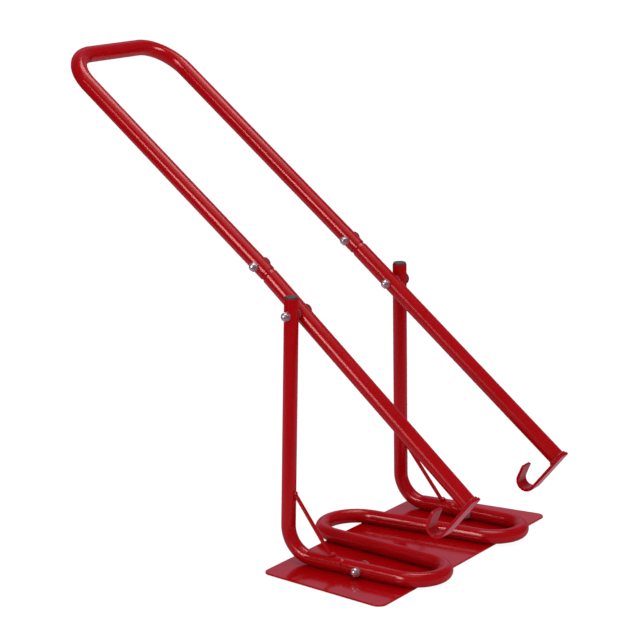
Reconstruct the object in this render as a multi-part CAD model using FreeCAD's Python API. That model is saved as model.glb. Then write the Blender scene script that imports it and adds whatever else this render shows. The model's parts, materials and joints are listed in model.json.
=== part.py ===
"""Manual trash compactor for a wheeled bin.

A lever of bent tube turns on two bolts at the top of two uprights. The uprights
stand on a flat press plate, held by a looped tube that is welded along it. Hooks
at one end of the lever catch the rim of the bin, and the bow at the other end is
pushed down by hand.

Millimetres. The origin is the middle of the plate's underside. +Z is up, +X runs
from the uprights towards the hooks, and +Y is the left side of a person at the
handle. The lever is drawn at the angle at which it stands when put down.
"""
import FreeCAD, Part
import math
import os

os.makedirs("parts", exist_ok=True)

# Press plate: wider at the front than at the back
plate_back_width = 446.0
plate_front_width = 494.0
plate_depth = 222.0
plate_thickness = 3.0
plate_corner = 14.0
plate_edge_round = 0.8

# Tube of the press loop and of the uprights
frame_tube = 22.0
frame_wall = 1.5

# Tube of the lever
lever_tube = 25.4
arm_wall = 1.5
handle_wall = 1.2

# Press loop: four runs, two bends at the front and one at the back
foot_spacing = 320.0
front_bend_radius = 45.0
back_bend_radius = 54.0
front_bend_overhang = 31.5
back_bend_overhang = 42.5

# Uprights
pivot_spacing = 300.0
pivot_height = 377.0
upright_above_pivot = 25.0
upright_over_plate = 3.0
foot_bend_radius = 45.0
foot_joint_reach = 102.0
foot_bolt_inset = 27.0
foot_spigot = 46.0

# Plugged joints: a reduced tube end, a sloping shoulder and a slip fit
shoulder_length = 4.0
foot_joint_gap = 0.8
lever_joint_gap = 3.0
slip_clearance = 0.15

# Braces
brace_rod = 6.0
brace_height = 122.0
brace_reach = 85.0
brace_flat_thickness = 4.6
brace_flat_length = 14.0

# Lever
arm_pitch = 39.2
handle_pitch = 37.6
arm_flare = 1.5
arm_above_pivot = 79.5
arm_below_pivot = 380.5
handle_length = 484.0
handle_bend_radius = 62.0
joint_bolt_inset = 17.5
joint_spigot = 40.0

# Hooks
hook_width = 25.0
hook_thickness = 4.5
hook_top = 13.5
hook_drop = 62.5
hook_inner_radius = 11.5
hook_lean = 16.0
hook_tail = 20.0
hook_corner = 3.0
hook_edge_round = 0.7

# Fasteners
bolt_diameter = 8.0
bolt_clearance = 0.05
bolt_head_diameter = 20.0
bolt_head_height = 5.0
bolt_head_rim = 0.9
nut_across_flats = 13.0
nut_hex_height = 5.5
nut_height = 11.0
nut_dome_diameter = 12.2
nut_cap_wall = 2.0
washer_diameter = 17.0
washer_thickness = 1.5
running_gap = 0.3
seat_gap = 0.05

# End caps
cap_height = 3.0
cap_round = 1.2
cap_overlap = 0.5
cap_stem = 12.0
cap_stem_wall = 1.6
cap_clearance = 0.1


def vec(x, y, z):
    return FreeCAD.Vector(x, y, z)


def unit(direction):
    return direction * (1.0 / direction.Length)


# Places worked out from the sizes above
frame_radius = frame_tube / 2
lever_radius = lever_tube / 2
upright_x = upright_over_plate - plate_depth / 2
run_height = plate_thickness + frame_radius
foot_joint_x = upright_x + foot_joint_reach
foot_bolt_x = foot_joint_x + foot_bolt_inset
front_bend_x = plate_depth / 2 + front_bend_overhang - frame_radius - front_bend_radius
back_bend_x = back_bend_radius + frame_radius - plate_depth / 2 - back_bend_overhang
pivot_gap = washer_thickness + 2 * running_gap
arm_offset = pivot_spacing / 2 - frame_radius - pivot_gap - lever_radius
handle_offset = arm_offset - arm_above_pivot * math.sin(math.radians(arm_flare))
hole_radius = bolt_diameter / 2 + bolt_clearance

pitch = math.radians(arm_pitch)
bow_pitch = math.radians(handle_pitch)
arm_up = vec(math.sin(pitch), 0, math.cos(pitch))
arm_level = vec(math.cos(pitch), 0, -math.sin(pitch))
handle_axis = vec(-math.cos(bow_pitch), 0, math.sin(bow_pitch))
across = vec(0, 1, 0)


def pivot_point(offset):
    """A point of the lever's turning axis, offset to the left."""
    return vec(upright_x, offset, pivot_height)


def arm_axis(side):
    """Direction of an arm towards its hook, turned outwards by the flare."""
    flare = math.radians(arm_flare)
    return arm_level * math.cos(flare) + across * (side * math.sin(flare))


def arm_side(side):
    """Direction across an arm, square to its axis and to arm_up."""
    flare = math.radians(arm_flare)
    return across * math.cos(flare) - arm_level * (side * math.sin(flare))


def bent_path(points, radii):
    """Straight runs through the points, joined by tangent arcs."""
    edges = []
    start = points[0]
    for before, corner, after, radius in zip(points, points[1:], points[2:], radii):
        back = unit(before - corner)
        ahead = unit(after - corner)
        half_angle = back.getAngle(ahead) / 2
        setback = radius / math.tan(half_angle)
        middle = corner + unit(back + ahead) * (radius / math.sin(half_angle) - radius)
        arc_start = corner + back * setback
        arc_end = corner + ahead * setback
        edges.append(Part.LineSegment(start, arc_start).toShape())
        edges.append(Part.Arc(arc_start, middle, arc_end).toShape())
        start = arc_end
    edges.append(Part.LineSegment(start, points[-1]).toShape())
    return Part.Wire(edges)


def rod_along(path, radius):
    """A solid round rod swept along a path."""
    first = path.Edges[0]
    start = first.valueAt(first.FirstParameter)
    heading = first.tangentAt(first.FirstParameter)
    ring = Part.Wire(Part.makeCircle(radius, start, heading))
    return path.makePipeShell([ring], True, False)


def straight_rod(start, direction, radius, length):
    return Part.makeCylinder(radius, length, start, direction)


def taper(start, start_axis, start_radius, end, end_axis, end_radius):
    """A solid that narrows from one round end to another."""
    wide = Part.Wire(Part.makeCircle(start_radius, start, start_axis))
    narrow = Part.Wire(Part.makeCircle(end_radius, end, end_axis))
    return Part.makeLoft([wide, narrow], True, True)


def bolt_hole(centre, reach):
    """A round cutter along Y, as long as reach on each side of the centre."""
    return straight_rod(centre - across * reach, across, hole_radius, 2 * reach)


def save(shape, name):
    shape.exportStep("parts/" + name + ".step")


def press_plate():
    """A sheet with rounded corners and softened edges."""
    front = plate_depth / 2
    corners = [
        vec(-front, -plate_back_width / 2, 0),
        vec(front, -plate_front_width / 2, 0),
        vec(front, plate_front_width / 2, 0),
        vec(-front, plate_back_width / 2, 0),
    ]
    outline = Part.Face(Part.makePolygon(corners + [corners[0]]))
    plate = outline.extrude(vec(0, 0, plate_thickness))
    upright_edges = [edge for edge in plate.Edges
                     if abs(edge.tangentAt(edge.FirstParameter).z) > 0.9]
    plate = plate.makeFillet(plate_corner, upright_edges)
    rims = [edge for edge in plate.Edges
            if abs(edge.tangentAt(edge.FirstParameter).z) < 0.1]
    return plate.makeFillet(min(plate_edge_round, 0.45 * plate_thickness), rims)


def press_loop_path():
    """The loop's centre line, from the left joint round to the right one.

    The outer runs are parallel. Each inner run is the straight line that touches the
    front bend on one side and the back bend on the other, so the two inner runs
    spread towards the front.
    """
    outer = foot_spacing / 2
    front_side = outer - front_bend_radius
    reach = front_bend_x - back_bend_x
    span = math.hypot(front_side, reach)
    slant = math.atan2(front_side, reach) - math.asin((front_bend_radius + back_bend_radius) / span)

    def front(turn, side):
        """A point of a front bend, turned from where its outer run ends."""
        return vec(front_bend_x + front_bend_radius * math.sin(turn),
                   side * (front_side + front_bend_radius * math.cos(turn)), run_height)

    def back(turn, side):
        """A point of the back bend, turned from its rearmost point."""
        return vec(back_bend_x - back_bend_radius * math.cos(turn),
                   side * back_bend_radius * math.sin(turn), run_height)

    front_turn = math.pi - slant
    back_turn = math.pi / 2 - slant
    edges = []
    for side in (1, -1):
        start = vec(foot_joint_x, side * outer, run_height)
        half = [
            Part.LineSegment(start, front(0, side)),
            Part.Arc(front(0, side), front(front_turn / 2, side), front(front_turn, side)),
            Part.LineSegment(front(front_turn, side), back(back_turn, side)),
        ]
        edges.append([edge.toShape() for edge in half])
    rear_bend = Part.Arc(back(back_turn, 1), back(0, 1), back(back_turn, -1)).toShape()
    return Part.Wire(edges[0] + [rear_bend] + edges[1][::-1])


def press_loop():
    """One bent tube, open at both ends, with a bolt hole near each end."""
    path = press_loop_path()
    loop = rod_along(path, frame_radius).cut(rod_along(path, frame_radius - frame_wall))
    for side in (1, -1):
        hole = bolt_hole(vec(foot_bolt_x, side * foot_spacing / 2, run_height), frame_tube)
        loop = loop.cut(hole)
    return loop


def upright_direction(side):
    """Upwards along an upright: its foot stands wider than its pivot."""
    foot = vec(upright_x, side * foot_spacing / 2, run_height)
    return unit(pivot_point(side * pivot_spacing / 2) - foot)


def upright_top(side):
    """The middle of the tube's upper end."""
    rise = upright_direction(side) * (upright_above_pivot / upright_direction(side).z)
    return pivot_point(side * pivot_spacing / 2) + rise


def upright_path(side):
    """Centre line from the shoulder of the foot to the upper end."""
    level = side * foot_spacing / 2
    shoulder_x = foot_joint_x - foot_joint_gap - shoulder_length
    corner = vec(upright_x, level, run_height)
    return bent_path([vec(shoulder_x, level, run_height), corner, upright_top(side)],
                     [foot_bend_radius])


def upright(side):
    """A bent tube with a reduced foot end that plugs into the press loop."""
    level = side * foot_spacing / 2
    path = upright_path(side)
    spigot_radius = frame_radius - frame_wall - slip_clearance
    forward = vec(1, 0, 0)
    shoulder = vec(foot_joint_x - foot_joint_gap - shoulder_length, level, run_height)
    neck = shoulder + forward * shoulder_length
    spigot_length = foot_spigot + foot_joint_gap

    def profile(reduction):
        body = rod_along(path, frame_radius - reduction)
        slope = taper(shoulder, forward, frame_radius - reduction,
                      neck, forward, spigot_radius - reduction)
        spigot = straight_rod(neck, forward, spigot_radius - reduction, spigot_length)
        return body.fuse([slope, spigot])

    tube = profile(0).cut(profile(frame_wall))
    tube = tube.cut(bolt_hole(pivot_point(side * pivot_spacing / 2), frame_tube))
    tube = tube.cut(bolt_hole(vec(foot_bolt_x, level, run_height), frame_tube))
    return tube.removeSplitter()


def brace(side):
    """A rod from the upright to its foot, pressed flatter where it is welded."""
    level = side * foot_spacing / 2
    low = vec(upright_x + brace_reach, level, run_height)
    rise = upright_direction(side) * ((brace_height - run_height) / upright_direction(side).z)
    high = vec(upright_x, level, run_height) + rise
    axis = unit(high - low)
    rod = straight_rod(low, axis, brace_rod / 2, (high - low).Length)
    clear_of_tubes = rod.cut(rod_along(upright_path(side), frame_radius))
    end_reach = brace_flat_length + frame_tube
    for end, inward in ((low, axis), (high, -axis)):
        flat_side = unit(inward.cross(across))
        for face in (1, -1):
            corner = end - inward * brace_rod + flat_side * (face * brace_flat_thickness / 2)
            sweep = flat_side * (face * brace_rod)
            block = Part.makePolygon([
                corner - across * brace_rod,
                corner + across * brace_rod,
                corner + across * brace_rod + inward * (end_reach + brace_rod),
                corner - across * brace_rod + inward * (end_reach + brace_rod),
                corner - across * brace_rod])
            clear_of_tubes = clear_of_tubes.cut(Part.Face(block).extrude(sweep))
    return clear_of_tubes


def end_cap(side):
    """A plastic plug: a rounded lid just wider than the bore, and a hollow stem."""
    bore_radius = frame_radius - frame_wall
    stem_radius = bore_radius - cap_clearance
    lid = Part.makeCylinder(bore_radius + cap_overlap, cap_height)
    lid = lid.makeFillet(min(cap_round, 0.45 * cap_height), [lid.Edges[0]])
    stem = Part.makeCylinder(stem_radius, cap_stem, vec(0, 0, -cap_stem))
    hollow = Part.makeCylinder(stem_radius - cap_stem_wall, cap_stem, vec(0, 0, -cap_stem))
    cap = lid.fuse(stem.cut(hollow))
    cap.Placement = FreeCAD.Placement(
        upright_top(side), FreeCAD.Rotation(vec(0, 0, 1), upright_direction(side)))
    return cap


def turned(outline, seat):
    """A closed outline of radius and height, turned about Y and seated."""
    solid = Part.Face(Part.Wire(outline)).revolve(vec(0, 0, 0), across, 360)
    solid.translate(seat)
    return solid


def line(start, end):
    return Part.LineSegment(vec(*start, 0), vec(*end, 0)).toShape()


def dome(base_radius, height, seat):
    """A shallow cap of a ball on a round base, rising to the left when height is positive."""
    ball_radius = (base_radius ** 2 + height ** 2) / (2 * abs(height))
    drop = math.copysign(ball_radius, height) - height
    half_angle = math.asin(base_radius / ball_radius) / 2
    half_way = (ball_radius * math.sin(half_angle),
                math.copysign(ball_radius * math.cos(half_angle), height) - drop)
    crown = Part.Arc(vec(base_radius, 0, 0), vec(*half_way, 0), vec(0, height, 0)).toShape()
    return turned([line((0, 0), (base_radius, 0)), crown, line((0, height), (0, 0))], seat)


def bolt(head_seat, nut_seat):
    """A bolt along Y with a low domed head on its left end."""
    nut_grip = nut_height - nut_cap_wall - seat_gap
    start = nut_seat - across * nut_grip
    shank = straight_rod(start, across, bolt_diameter / 2, (head_seat - start).Length)
    rim = straight_rod(head_seat, across, bolt_head_diameter / 2, bolt_head_rim)
    crown = dome(bolt_head_diameter / 2, bolt_head_height - bolt_head_rim,
                 head_seat + across * bolt_head_rim)
    return shank.fuse([rim, crown]).removeSplitter()


def cap_nut(seat):
    """A hexagon nut with a closed dome, seated at its left face."""
    corner_radius = nut_across_flats / math.sqrt(3)
    corners = [seat + vec(corner_radius * math.cos(math.radians(30 + 60 * k)), 0,
                          corner_radius * math.sin(math.radians(30 + 60 * k)))
               for k in range(6)]
    hexagon = Part.Face(Part.makePolygon(corners + [corners[0]]))
    prism = hexagon.extrude(across * -nut_hex_height)
    slope = (corner_radius - nut_across_flats / 2) / 2
    profile = [(0, 0), (nut_across_flats / 2, 0), (corner_radius, -slope),
               (corner_radius, slope - nut_hex_height),
               (nut_across_flats / 2, -nut_hex_height), (0, -nut_hex_height)]
    blank = turned([line(a, b) for a, b in zip(profile, profile[1:] + profile[:1])], seat)
    crown = dome(nut_dome_diameter / 2, nut_hex_height - nut_height,
                 seat - across * nut_hex_height)
    bore = straight_rod(seat, -across, hole_radius, nut_height - nut_cap_wall)
    return prism.common(blank).fuse(crown).cut(bore)


def fastener(centre, left_half, right_half, gap, name):
    """A bolt and its cap nut through a stack, saved under one ending."""
    head_seat = centre + across * (left_half + gap)
    nut_seat = centre - across * (right_half + gap)
    save(bolt(head_seat, nut_seat), name[0])
    save(cap_nut(nut_seat), name[1])


def pivot_washer(side):
    """A flat ring between the upright and the arm."""
    inner_face = side * (pivot_spacing / 2 - frame_radius - running_gap)
    start = pivot_point(inner_face)
    ring = straight_rod(start, across * -side, washer_diameter / 2, washer_thickness)
    return ring.cut(straight_rod(start, across * -side, hole_radius, washer_thickness))


def handle_bow():
    """One tube bent into a U, open at both ends."""
    base = pivot_point(0) - arm_level * (arm_above_pivot * math.cos(math.radians(arm_flare)))
    sideways = across * handle_offset
    top = base + handle_axis * handle_length
    path = bent_path([base + sideways, top + sideways, top - sideways, base - sideways],
                     [handle_bend_radius, handle_bend_radius])
    bow = rod_along(path, lever_radius).cut(rod_along(path, lever_radius - handle_wall))
    for side in (1, -1):
        bow = bow.cut(bolt_hole(joint_bolt_point(side), lever_tube))
    return bow


def handle_end(side):
    """The middle of the open end of one leg of the bow."""
    return pivot_point(side * arm_offset) - arm_axis(side) * arm_above_pivot


def joint_bolt_point(side):
    return handle_end(side) + handle_axis * joint_bolt_inset


def arm_end(side):
    """The middle of the arm's lower end, where the hook is welded."""
    return pivot_point(side * arm_offset) + arm_axis(side) * arm_below_pivot


def lever_arm(side):
    """A straight tube with a reduced upper end that plugs into the bow."""
    axis = arm_axis(side)
    shoulder = handle_end(side) + axis * (lever_joint_gap + shoulder_length)
    neck = handle_end(side) - handle_axis * lever_joint_gap
    length = (arm_end(side) - shoulder).Length
    spigot_radius = lever_radius - handle_wall - slip_clearance
    spigot_length = joint_spigot + lever_joint_gap

    def profile(reduction):
        body = straight_rod(shoulder, axis, lever_radius - reduction, length)
        slope = taper(shoulder, -axis, lever_radius - reduction,
                      neck, handle_axis, spigot_radius - reduction)
        spigot = straight_rod(neck, handle_axis, spigot_radius - reduction, spigot_length)
        return body.fuse([slope, spigot])

    tube = profile(0).cut(profile(arm_wall))
    tube = tube.cut(bolt_hole(pivot_point(side * arm_offset), lever_tube))
    tube = tube.cut(bolt_hole(joint_bolt_point(side), lever_tube))
    return tube.removeSplitter()


def hook(side):
    """A flat bar bent into a J, welded square across the arm's open end."""
    inner = hook_inner_radius
    outer = inner + hook_thickness
    curl = math.pi - math.radians(hook_lean)
    tail = vec(-math.sin(curl), 0, -math.cos(curl)) * hook_tail

    def curled(radius, turn):
        """A point of the curl, turned from the lower end of the straight shank."""
        return vec(radius * math.cos(turn) - inner, 0, -radius * math.sin(turn) - hook_drop)

    outline = [
        Part.LineSegment(vec(0, 0, hook_top), vec(hook_thickness, 0, hook_top)),
        Part.LineSegment(vec(hook_thickness, 0, hook_top), curled(outer, 0)),
        Part.Arc(curled(outer, 0), curled(outer, curl / 2), curled(outer, curl)),
        Part.LineSegment(curled(outer, curl), curled(outer, curl) + tail),
        Part.LineSegment(curled(outer, curl) + tail, curled(inner, curl) + tail),
        Part.LineSegment(curled(inner, curl) + tail, curled(inner, curl)),
        Part.Arc(curled(inner, curl), curled(inner, curl / 2), curled(inner, 0)),
        Part.LineSegment(curled(inner, 0), vec(0, 0, hook_top)),
    ]
    profile = Part.Face(Part.Wire([edge.toShape() for edge in outline]))
    profile.translate(vec(0, -hook_width / 2, 0))
    strip = profile.extrude(vec(0, hook_width, 0))
    corners = [edge for edge in strip.Edges if is_strip_corner(edge)]
    strip = strip.makeFillet(hook_corner, corners)
    rims = [edge for edge in strip.Edges
            if abs(abs(edge.CenterOfMass.y) - hook_width / 2) < 0.01]
    strip = strip.makeFillet(min(hook_edge_round, 0.4 * hook_thickness), rims)
    axis = arm_axis(side)
    sideways = arm_side(side)
    origin = arm_end(side)
    strip.Placement = FreeCAD.Placement(FreeCAD.Matrix(
        axis.x, sideways.x, arm_up.x, origin.x,
        axis.y, sideways.y, arm_up.y, origin.y,
        axis.z, sideways.z, arm_up.z, origin.z,
        0, 0, 0, 1))
    return strip


def is_strip_corner(edge):
    """True for the four short edges across the bar's thickness at its two ends."""
    return (edge.Curve.TypeId == "Part::GeomLine"
            and abs(edge.Length - hook_thickness) < 0.001
            and abs(edge.tangentAt(edge.FirstParameter).y) < 0.001)


save(press_plate(), "press_plate")
save(press_loop(), "press_loop")
save(handle_bow(), "handle_bow")

for side, ending in ((1, "_left"), (-1, "_right")):
    save(upright(side), "upright" + ending)
    save(brace(side), "brace" + ending)
    save(end_cap(side), "end_cap" + ending)
    save(pivot_washer(side), "pivot_washer" + ending)
    save(lever_arm(side), "lever_arm" + ending)
    save(hook(side), "hook" + ending)

    foot_centre = vec(foot_bolt_x, side * foot_spacing / 2, run_height)
    fastener(foot_centre, frame_radius, frame_radius, seat_gap,
             ("foot_bolt" + ending, "foot_nut" + ending))
    fastener(joint_bolt_point(side), lever_radius, lever_radius, seat_gap,
             ("joint_bolt" + ending, "joint_nut" + ending))

    upright_face = pivot_spacing / 2 + frame_radius
    arm_face = arm_offset - lever_radius
    faces = (upright_face, -arm_face) if side == 1 else (-arm_face, upright_face)
    fastener(pivot_point(0), faces[0], faces[1], running_gap,
             ("pivot_bolt" + ending, "pivot_nut" + ending))
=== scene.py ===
import json
import math

import bmesh
import bpy
from mathutils import Matrix, Vector, noise


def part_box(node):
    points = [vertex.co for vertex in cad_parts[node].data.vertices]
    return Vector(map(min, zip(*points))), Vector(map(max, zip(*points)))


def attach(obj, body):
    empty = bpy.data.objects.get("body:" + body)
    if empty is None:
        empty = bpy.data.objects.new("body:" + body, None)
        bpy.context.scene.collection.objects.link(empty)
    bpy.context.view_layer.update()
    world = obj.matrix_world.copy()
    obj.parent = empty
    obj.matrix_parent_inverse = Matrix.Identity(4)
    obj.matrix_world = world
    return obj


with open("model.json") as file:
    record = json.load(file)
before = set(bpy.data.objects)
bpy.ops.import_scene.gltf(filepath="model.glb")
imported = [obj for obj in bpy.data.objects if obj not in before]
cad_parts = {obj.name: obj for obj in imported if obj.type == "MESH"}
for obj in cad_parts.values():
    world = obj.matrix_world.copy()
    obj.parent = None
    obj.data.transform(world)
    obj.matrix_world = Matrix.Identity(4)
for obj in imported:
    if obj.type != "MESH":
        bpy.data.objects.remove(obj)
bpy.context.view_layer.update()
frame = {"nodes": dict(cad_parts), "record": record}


# Press plate
# A 3 mm steel sheet, wider at the front, with rounded corners. It is welded under
# the looped tube and powder coated with it, so it is glossy and slightly dimpled.
def start_material(name):
    """A material, its node tree, its shader and the coordinates that place its texture."""
    material = bpy.data.materials.new(name)
    material.use_nodes = True
    tree = material.node_tree
    place = tree.nodes.new("ShaderNodeTexCoord")
    return material, tree, tree.nodes["Principled BSDF"], place.outputs["Object"]


def feed(tree, socket, value):
    """Gives a node's input a plain value, or links another node's output to it."""
    if isinstance(value, bpy.types.NodeSocket):
        tree.links.new(value, socket)
    else:
        socket.default_value = value


def noise_factor(tree, place, scale, detail):
    """Noise from 0 to 1, with about scale waves to the metre and finer ones with detail."""
    texture = tree.nodes.new("ShaderNodeTexNoise")
    feed(tree, texture.inputs["Vector"], place)
    feed(tree, texture.inputs["Scale"], scale)
    feed(tree, texture.inputs["Detail"], detail)
    return texture.outputs["Fac"]


def shades(tree, factor, *stops):
    """A colour that runs through the stops with the factor. A stop is (factor, colour)."""
    ramp = tree.nodes.new("ShaderNodeValToRGB")
    elements = ramp.color_ramp.elements
    for position, colour in stops[1:-1]:
        elements.new(position)
    for element, (position, colour) in zip(elements, stops):
        element.position = position
        element.color = (*colour, 1.0)
    feed(tree, ramp.inputs["Fac"], factor)
    return ramp.outputs["Color"]


def slope(tree, value, start, end, first, last, smooth=False):
    """first while value is below start, last once it is past end, and a slope between."""
    ramp = tree.nodes.new("ShaderNodeMapRange")
    if smooth:
        ramp.interpolation_type = "SMOOTHSTEP"
    feed(tree, ramp.inputs["Value"], value)
    feed(tree, ramp.inputs["From Min"], start)
    feed(tree, ramp.inputs["From Max"], end)
    feed(tree, ramp.inputs["To Min"], first)
    feed(tree, ramp.inputs["To Max"], last)
    return ramp.outputs["Result"]


def bumps(tree, height, strength, depth, under=None):
    """The surface's normal with bumps of depth metres on it, or on the normal under them."""
    bump = tree.nodes.new("ShaderNodeBump")
    feed(tree, bump.inputs["Strength"], strength)
    feed(tree, bump.inputs["Distance"], depth)
    feed(tree, bump.inputs["Height"], height)
    if under is not None:
        feed(tree, bump.inputs["Normal"], under)
    return bump.outputs["Normal"]


coat_deep = (0.345, 0.0003, 0.0018)
coat_bright = (0.375, 0.0006, 0.0030)
coat_gloss_tint = (1.0, 0.60, 0.62, 1.0)
haze_roughness = 0.025


def powder_coat(name, roughness, glancing=0.0, peel_depth=0.00006, ripple=0.0):
    """Glossy red powder coat: orange peel, slow waves in the film and thin haze.

    peel_depth is the height of the orange peel in metres, and ripple that of a weld's
    scales. roughness is that of the clearest gloss, and haze adds a little in places.
    Where the film is seen at a glancing angle the peel blurs it up to glancing.
    """
    material, tree, paint, place = start_material(name)
    feed(tree, paint.inputs["IOR"], 1.5)
    feed(tree, paint.inputs["Specular Tint"], coat_gloss_tint)

    drift = noise_factor(tree, place, scale=14.0, detail=3.0)
    feed(tree, paint.inputs["Base Color"], shades(tree, drift, (0.35, coat_deep), (0.65, coat_bright)))

    haze = noise_factor(tree, place, scale=55.0, detail=2.0)
    gloss = slope(tree, haze, start=0.3, end=0.7, first=roughness, last=roughness + haze_roughness)
    if glancing:
        edge = tree.nodes.new("ShaderNodeLayerWeight")
        feed(tree, edge.inputs["Blend"], 0.5)
        gloss = slope(tree, edge.outputs["Facing"], start=0.66, end=0.80, first=gloss, last=glancing)
    feed(tree, paint.inputs["Roughness"], gloss)

    peel = noise_factor(tree, place, scale=520.0, detail=1.5)
    normal = bumps(tree, peel, strength=0.02, depth=peel_depth)
    wave = noise_factor(tree, place, scale=70.0, detail=0.0)
    normal = bumps(tree, wave, strength=0.04, depth=peel_depth * 3, under=normal)
    if ripple:
        scales = tree.nodes.new("ShaderNodeTexVoronoi")
        feed(tree, scales.inputs["Vector"], place)
        feed(tree, scales.inputs["Scale"], 330.0)
        normal = bumps(tree, scales.outputs["Distance"], strength=0.6, depth=ripple, under=normal)
    feed(tree, paint.inputs["Normal"], normal)
    return material


def finish_nodes(material, *names):
    """The CAD nodes with these names get one material all over."""
    for name in names:
        slots = frame["nodes"][name].data.materials
        slots.clear()
        slots.append(material)


sheet_coat = powder_coat("sheet_powder_coat", roughness=0.115, peel_depth=0.00005)
finish_nodes(sheet_coat, "press_plate")


# Press loop and uprights
# 22 mm steel tube. The loop lies flat on the plate and is welded to it in short
# stitches, all from the left. The uprights plug into its open ends.
tube_coat = powder_coat("tube_powder_coat", roughness=0.145, glancing=0.8)
finish_nodes(tube_coat, "press_loop", "upright_left", "upright_right")
weld_coat = powder_coat("weld_powder_coat", roughness=0.16, glancing=0.8, ripple=0.0003)

tube_radius = 0.011
stitch_radius = 0.0012
stitch_length = 0.020
stitch_scale_pitch = 0.0018
stitch_middles = (-0.045, 0.045, 0.085)
stitch_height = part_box("press_plate")[1].z + stitch_radius * 0.7
outer_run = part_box("press_loop")[1].y - tube_radius
crease = 2 * math.sqrt(tube_radius * stitch_radius)


def new_piece(name, mesh_work, material, body):
    """Turns finished bmesh work into a piece that rides on a body."""
    bmesh.ops.recalc_face_normals(mesh_work, faces=mesh_work.faces)
    mesh = bpy.data.meshes.new(name)
    mesh_work.to_mesh(mesh)
    mesh_work.free()
    mesh.materials.append(material)
    mesh.shade_smooth()
    piece = bpy.data.objects.new(name, mesh)
    bpy.context.scene.collection.objects.link(piece)
    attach(piece, body)
    return piece


def facing(direction):
    """The turn that points a piece's Z axis in a direction."""
    return Vector(direction).to_track_quat("Z", "Y").to_matrix().to_4x4()


def straight_bead(mesh_work, start, end, radius, scale_pitch):
    """A closed weld bead with overlapping scales, from start to end."""
    rings_per_scale = 6
    groove = 0.86
    swelling = 0.14
    tip = 0.08
    tip_growth = 6
    length = (end - start).length
    steps = max(8, round(length / scale_pitch * rings_per_scale))
    made = bmesh.ops.create_circle(mesh_work, cap_ends=True, segments=12, radius=radius)
    ring = made["verts"]
    verts = list(ring)
    end_faces = [face for face in mesh_work.faces if face.verts[0] in ring]
    for step in range(steps):
        made = bmesh.ops.extrude_face_region(mesh_work, geom=end_faces)
        new_verts = [part for part in made["geom"] if isinstance(part, bmesh.types.BMVert)]
        new_faces = [part for part in made["geom"] if isinstance(part, bmesh.types.BMFace)]
        if step > 0:
            bmesh.ops.delete(mesh_work, geom=end_faces, context="FACES_ONLY")
        bmesh.ops.translate(mesh_work, verts=new_verts, vec=(0, 0, length / steps))
        verts += new_verts
        end_faces = new_faces
    for vert in verts:
        along = vert.co.z / length
        scale = groove + swelling * abs(math.sin(math.pi * vert.co.z / scale_pitch))
        taper = min(1.0, (tip + tip_growth * min(along, 1 - along)) ** 0.5)
        vert.co.x *= scale * taper
        vert.co.y *= scale * taper
    seat = Matrix.Translation(start) @ facing(end - start)
    bmesh.ops.transform(mesh_work, matrix=seat, verts=verts)


stitches = bmesh.new()
for side in (1, -1):
    for middle in stitch_middles:
        start = Vector((middle - stitch_length / 2, side * outer_run + crease, stitch_height))
        end = start + Vector((stitch_length, 0, 0))
        straight_bead(stitches, start, end, stitch_radius, stitch_scale_pitch)
new_piece("loop_stitch_welds", stitches, weld_coat, "ram_frame")


# Braces
# A 6 mm rod on each side, from the upright down to its foot. Both ends are pressed
# a little flatter and held by a small round puddle of weld under the same coat.
finish_nodes(tube_coat, "brace_left", "brace_right")
foot_puddle = 0.0048
foot_puddle_ahead = 0.0005
foot_puddle_up = 0.0026
upper_puddle = 0.0036
upper_puddle_ahead = 0.0030
upper_puddle_down = 0.0030


def puddle(mesh_work, centre, direction, radius):
    """A squat, slightly lumpy blob of weld, flattened along direction."""
    lumps_per_metre = 420
    unevenness = 0.09
    squat = 0.62
    made = bmesh.ops.create_icosphere(mesh_work, subdivisions=4, radius=radius)
    for vert in made["verts"]:
        vert.co *= 1.0 + unevenness * noise.noise(vert.co * lumps_per_metre + centre * 50)
        vert.co.z *= squat
    seat = Matrix.Translation(centre) @ facing(direction)
    bmesh.ops.transform(mesh_work, matrix=seat, verts=made["verts"])


for side_name in ("left", "right"):
    low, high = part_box("brace_" + side_name)
    middle_y = (low.y + high.y) / 2
    foot = Vector((high.x + foot_puddle_ahead, middle_y, low.z + foot_puddle_up))
    upper = Vector((low.x + upper_puddle_ahead, middle_y, high.z - upper_puddle_down))
    welds = bmesh.new()
    puddle(welds, foot, (0.3, 0, 1), foot_puddle)
    puddle(welds, upper, (1, 0, 0.2), upper_puddle)
    new_piece("brace_welds_" + side_name, welds, weld_coat, "ram_frame")


# End caps
# Black moulded plugs pushed into the upper ends of the uprights. Polyethylene with
# a fine satin grain from the mould, greyed by a little dust.
clean_black = (0.043, 0.030, 0.034)
dusty_black = (0.080, 0.056, 0.062)
cap_plastic, tree, plastic, place = start_material("cap_plastic")
feed(tree, plastic.inputs["IOR"], 1.5)
grain = noise_factor(tree, place, scale=1400.0, detail=4.0)
feed(tree, plastic.inputs["Normal"], bumps(tree, grain, strength=0.5, depth=0.00008))
dust = noise_factor(tree, place, scale=120.0, detail=6.0)
feed(tree, plastic.inputs["Base Color"], shades(tree, dust, (0.4, clean_black), (0.8, dusty_black)))
feed(tree, plastic.inputs["Roughness"], slope(tree, dust, start=0.0, end=1.0, first=0.36, last=0.52))
finish_nodes(cap_plastic, "end_cap_left", "end_cap_right")


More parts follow.
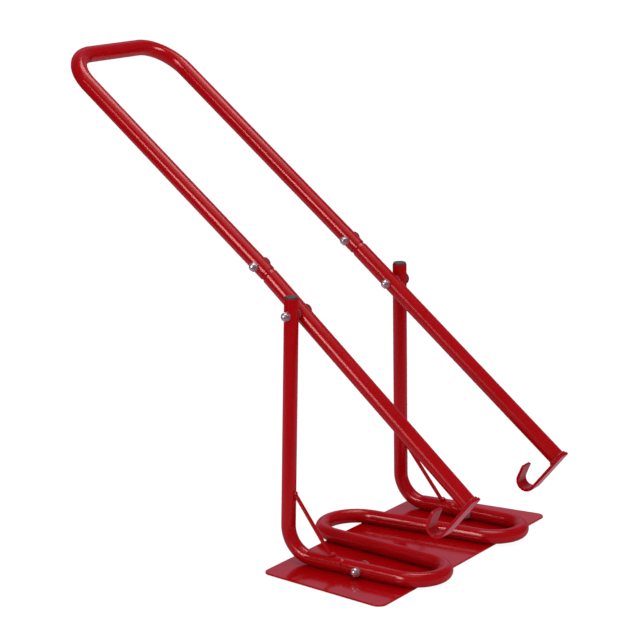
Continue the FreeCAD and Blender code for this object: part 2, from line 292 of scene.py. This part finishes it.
# Bolts, cap nuts and washers
# M8 fasteners of steel with bright zinc plate. The plate has a faint cloudy tint over a painted
# pink reflection of the red frame, fine turning marks, and is duller in places.
# Both zinc shades carry a pink cast that is a painted reflection of the red paint around them.
deep_zinc_red_reflection = (0.58, 0.44, 0.49)
pale_zinc_red_reflection = (0.75, 0.60, 0.65)
zinc, tree, metal, place = start_material("bright_zinc_plate")
feed(tree, metal.inputs["Metallic"], 0.88)
cloud = noise_factor(tree, place, scale=160.0, detail=4.0)
feed(tree, metal.inputs["Base Color"], shades(tree, cloud, (0.3, deep_zinc_red_reflection), (0.7, pale_zinc_red_reflection)))
feed(tree, metal.inputs["Roughness"], slope(tree, cloud, start=0.3, end=0.7, first=0.26, last=0.40))
marks = noise_factor(tree, place, scale=900.0, detail=2.0)
feed(tree, metal.inputs["Normal"], bumps(tree, marks, strength=0.25, depth=0.00004))
for side_name in ("left", "right"):
    for joint_name in ("foot", "joint", "pivot"):
        finish_nodes(zinc, f"{joint_name}_bolt_{side_name}", f"{joint_name}_nut_{side_name}")
    finish_nodes(zinc, "pivot_washer_" + side_name)


# Lever arms, handle bow and hooks
# 25.4 mm steel tube. The arms' upper ends are reduced to plug into the bow, and a
# flat bar bent into a J is welded across each lower end with one rough bead.
finish_nodes(tube_coat, "handle_bow", "lever_arm_left", "lever_arm_right")
finish_nodes(sheet_coat, "hook_left", "hook_right")
arm_radius = 0.0127
end_bead_radius = 0.0019
end_bead_stand_off = 0.0004
end_bead_back = 0.0012
end_bead_steps = 156
end_bead_scales = 30
end_bead_groove = 0.92
end_bead_swelling = 0.10
end_bead_unevenness = 0.18
end_face_depth = 0.0012


def arm_end(side_name):
    """The middle of an arm's lower end and its direction, read from the frame."""
    mount = next(m for m in frame["record"]["mounts"] if m["name"] == "hook_seat_" + side_name)
    upwards = Vector(mount["axis"])
    along = Vector((0, 1, 0)).cross(upwards).normalized()
    corners = [v.co for v in frame["nodes"]["lever_arm_" + side_name].data.vertices]
    reach = max(corner.dot(along) for corner in corners)
    ring = [corner for corner in corners if corner.dot(along) > reach - end_face_depth]
    return sum(ring, Vector()) / len(ring), along


for side_name in ("left", "right"):
    middle, along = arm_end(side_name)
    bead = bmesh.new()
    made = bmesh.ops.create_circle(bead, segments=10, radius=end_bead_radius)
    bmesh.ops.rotate(bead, cent=(0, 0, 0), matrix=Matrix.Rotation(math.pi / 2, 3, "X"),
                     verts=made["verts"])
    bmesh.ops.translate(bead, verts=made["verts"], vec=(arm_radius + end_bead_stand_off, 0, 0))
    bmesh.ops.spin(bead, geom=list(bead.edges) + list(bead.verts), cent=(0, 0, 0), axis=(0, 0, 1),
                   angle=2 * math.pi, steps=end_bead_steps, use_merge=True)
    for vert in bead.verts:
        turn = math.atan2(vert.co.y, vert.co.x)
        centre = Vector((math.cos(turn), math.sin(turn), 0)) * arm_radius
        swell = end_bead_groove + end_bead_swelling * abs(math.sin(turn * end_bead_scales / 2))
        swell += end_bead_unevenness * noise.noise(vert.co * 120 + middle * 20)
        vert.co = centre + (vert.co - centre) * swell
    seat = Matrix.Translation(middle - along * end_bead_back) @ facing(along)
    bmesh.ops.transform(bead, matrix=seat, verts=bead.verts)
    new_piece("hook_weld_" + side_name, bead, weld_coat, "lever")


# Camera
# It stands in front of the right-hand side, a little above the lever's pivot, with
# a long lens, so the uprights stay nearly parallel.
camera_azimuth = math.radians(33.89)
camera_elevation = math.radians(13.18)
camera_place = Vector((1.6157, -2.6408, 1.0790))
looking_back = Vector((math.sin(camera_azimuth) * math.cos(camera_elevation),
                       -math.cos(camera_azimuth) * math.cos(camera_elevation),
                       math.sin(camera_elevation)))
camera_data = bpy.data.cameras.new("camera")
camera_data.sensor_width = 36.0
camera_data.lens = 119.86
camera_data.clip_end = 60.0
camera = bpy.data.objects.new("camera", camera_data)
camera.location = camera_place
camera.rotation_mode = "QUATERNION"
camera.rotation_quaternion = (-looking_back).to_track_quat("-Z", "Y")
bpy.context.scene.collection.objects.link(camera)
bpy.context.scene.camera = camera


# Floor
# A wide pale sheet with a faint soft shadow. The camera sees through most of it to
# the white room, so the handle still shows when it swings below. In gloss it is pale
# paper that ends just in front of the object and further out behind.
floor_reach = 30.0
floor_drop = 0.0005
paper_white = (0.86, 0.86, 0.86, 1.0)
paper_in_gloss = (0.52, 0.32, 0.41, 1.0)
nothing_in_gloss = (0.0, 0.0, 0.0, 1.0)
towards_camera = (0.557, -0.830, 0.0)
paper_middle = (-0.20, 0.0, 0.0)
seen_through_share = 0.84
white_lift = 0.09


def vector_number(tree, operation, vector, other):
    """A vector's DOT_PRODUCT with another one, or its DISTANCE from it."""
    node = tree.nodes.new("ShaderNodeVectorMath")
    node.operation = operation
    feed(tree, node.inputs[0], vector)
    feed(tree, node.inputs[1], other)
    return node.outputs["Value"]


def number(tree, operation, first, second):
    """The MAXIMUM or the product (MULTIPLY) of two numbers."""
    node = tree.nodes.new("ShaderNodeMath")
    node.operation = operation
    feed(tree, node.inputs[0], first)
    feed(tree, node.inputs[1], second)
    return node.outputs["Value"]


def colour_mix(tree, factor, first, second):
    """The first colour where the factor is 0 and the second where it is 1."""
    node = tree.nodes.new("ShaderNodeMix")
    node.data_type = "RGBA"
    feed(tree, node.inputs["Factor"], factor)
    feed(tree, node.inputs["A"], first)
    feed(tree, node.inputs["B"], second)
    return node.outputs["Result"]


def shader_mix(tree, factor, first, second):
    """The first shader where the factor is 0 and the second where it is 1."""
    node = tree.nodes.new("ShaderNodeMixShader")
    feed(tree, node.inputs["Fac"], factor)
    feed(tree, node.inputs[1], first)
    feed(tree, node.inputs[2], second)
    return node.outputs["Shader"]


floor_work = bmesh.new()
bmesh.ops.create_grid(floor_work, x_segments=1, y_segments=1, size=floor_reach)
floor_mesh = bpy.data.meshes.new("floor")
floor_work.to_mesh(floor_mesh)
floor_work.free()
floor = bpy.data.objects.new("floor", floor_mesh)
floor.location = (0, 0, -floor_drop)
bpy.context.scene.collection.objects.link(floor)

paper, tree, matt, place = start_material("floor_paper")
feed(tree, matt.inputs["Roughness"], 0.9)
feed(tree, matt.inputs["Specular IOR Level"], 0.0)
forward = vector_number(tree, "DOT_PRODUCT", place, towards_camera)
front_edge = slope(tree, forward, start=0.15, end=0.85, first=1.0, last=0.0, smooth=True)
outward = vector_number(tree, "DISTANCE", place, paper_middle)
far_edge = slope(tree, outward, start=1.10, end=1.90, first=1.0, last=0.0, smooth=True)
on_paper = number(tree, "MULTIPLY", front_edge, far_edge)
in_gloss = colour_mix(tree, on_paper, nothing_in_gloss, paper_in_gloss)
rays = tree.nodes.new("ShaderNodeLightPath")
seen_in_gloss = number(tree, "MAXIMUM", rays.outputs["Is Glossy Ray"],
                       rays.outputs["Is Transmission Ray"])
feed(tree, matt.inputs["Base Color"], colour_mix(tree, seen_in_gloss, paper_white, in_gloss))
lift = tree.nodes.new("ShaderNodeEmission")
feed(tree, lift.inputs["Strength"], white_lift)
clear = tree.nodes.new("ShaderNodeBsdfTransparent")
seen_through = tree.nodes.new("ShaderNodeAddShader")
feed(tree, seen_through.inputs[0], clear.outputs["BSDF"])
feed(tree, seen_through.inputs[1], lift.outputs["Emission"])
share = number(tree, "MULTIPLY", rays.outputs["Is Camera Ray"], seen_through_share)
surface = shader_mix(tree, share, matt.outputs["BSDF"], seen_through.outputs["Shader"])
feed(tree, tree.nodes["Material Output"].inputs["Surface"], surface)
floor.data.materials.append(paper)


# Studio
# A dark room with a pale screen low behind the object, soft boxes at the left in
# front and overhead, and two small ones for the bright spots on the handle's far bend.
# Light from all round, stronger from the right and above, gives the paint its colour.
away_from_camera = (-0.545, 0.808, 0.225)
stronger_side = (0.80, -0.15, 0.58)
wall_shades = (
    (0.0, (0.025, 0.018, 0.030)),
    (0.50, (0.045, 0.032, 0.054)),
    (0.75, (0.100, 0.075, 0.120)),
    (0.92, (0.43, 0.24, 0.34)),
    (1.0, (0.52, 0.30, 0.41)),
)
world = bpy.data.worlds.new("studio")
bpy.context.scene.world = world
world.use_nodes = True
tree = world.node_tree
direction = tree.nodes.new("ShaderNodeTexCoord").outputs["Generated"]
rays = tree.nodes.new("ShaderNodeLightPath")
even_light = tree.nodes["Background"]
feed(tree, even_light.inputs["Color"], (1.0, 1.0, 1.0, 1.0))
sideways = vector_number(tree, "DOT_PRODUCT", direction, stronger_side)
level = slope(tree, sideways, start=-1.0, end=1.0, first=0.43, last=1.10)
strength = slope(tree, rays.outputs["Is Camera Ray"], start=0.0, end=1.0, first=level, last=1.0)
feed(tree, even_light.inputs["Strength"], strength)
backward = vector_number(tree, "DOT_PRODUCT", direction, away_from_camera)
room = tree.nodes.new("ShaderNodeBackground")
feed(tree, room.inputs["Color"], shades(tree, backward, *wall_shades))
surroundings = shader_mix(tree, rays.outputs["Is Glossy Ray"], even_light.outputs["Background"],
                          room.outputs["Background"])
feed(tree, tree.nodes["World Output"].inputs["Surface"], surroundings)


def soft_box(name, place, aim, width, height, brightness, only_gloss=False, grid=180):
    """A rectangular lamp at place that points at aim, as bright per area as given.

    With only_gloss it shows as a highlight and leaves the matt colour as it is. grid
    is the angle in degrees that a honeycomb in front of it lets through. The light
    fades from brightness in the middle of that angle to nothing at its edges.
    """
    half = math.radians(grid) / 2
    passed = math.sin(half) ** 2 - (half - math.sin(half) * math.cos(half)) / math.tan(half)
    lamp = bpy.data.lights.new(name, "AREA")
    lamp.shape = "RECTANGLE"
    lamp.size = width
    lamp.size_y = height
    lamp.energy = brightness * math.pi * width * height * passed
    lamp.spread = math.radians(grid)
    box = bpy.data.objects.new(name, lamp)
    box.location = place
    box.rotation_mode = "QUATERNION"
    box.rotation_quaternion = (Vector(aim) - Vector(place)).to_track_quat("-Z", "Y")
    box.visible_camera = False
    box.visible_diffuse = not only_gloss
    bpy.context.scene.collection.objects.link(box)


near_pivot = (-0.11, -0.12, 0.39)
near_arm = (-0.05, -0.13, 0.33)
loop_middle = (0.05, 0.06, 0.01)
far_bend_back = (-0.533, 0.091, 0.720)
far_bend_front = (-0.512, 0.109, 0.699)
soft_box("left_box", (-0.50, -2.0, 1.15), near_arm, 0.56, 0.90, 10.4, only_gloss=True, grid=40)
soft_box("left_rim", (-0.49, -2.1, 1.18), near_arm, 0.88, 1.25, 3.9, only_gloss=True, grid=40)
soft_box("left_glow", (-0.40, -2.2, 0.72), near_pivot, 0.84, 1.10, 1.1)
soft_box("run_box", (-0.90, -1.81, 1.48), loop_middle, 0.50, 0.46, 16.2, only_gloss=True, grid=26)
soft_box("bow_box_behind", (0.211, 0.196, 0.994), far_bend_back, 0.36, 0.34, 17.0,
         only_gloss=True, grid=32)
soft_box("bow_box_front", (-0.275, -0.618, 0.932), far_bend_front, 0.34, 0.34, 19.0,
         only_gloss=True, grid=32)
soft_box("overhead_box", (-0.30, 0.58, 2.40), (-0.30, 0.58, 0.0), 1.00, 1.20, 4.6, only_gloss=True)
soft_box("overhead_end", (0.48, 0.58, 2.40), (0.48, 0.58, 0.0), 0.56, 1.20, 1.7)
soft_box("overhead_glow", (0.0, -0.60, 2.40), (0.0, -0.60, 0.0), 1.50, 1.10, 0.8)

bpy.context.scene.view_settings.view_transform = "Standard"
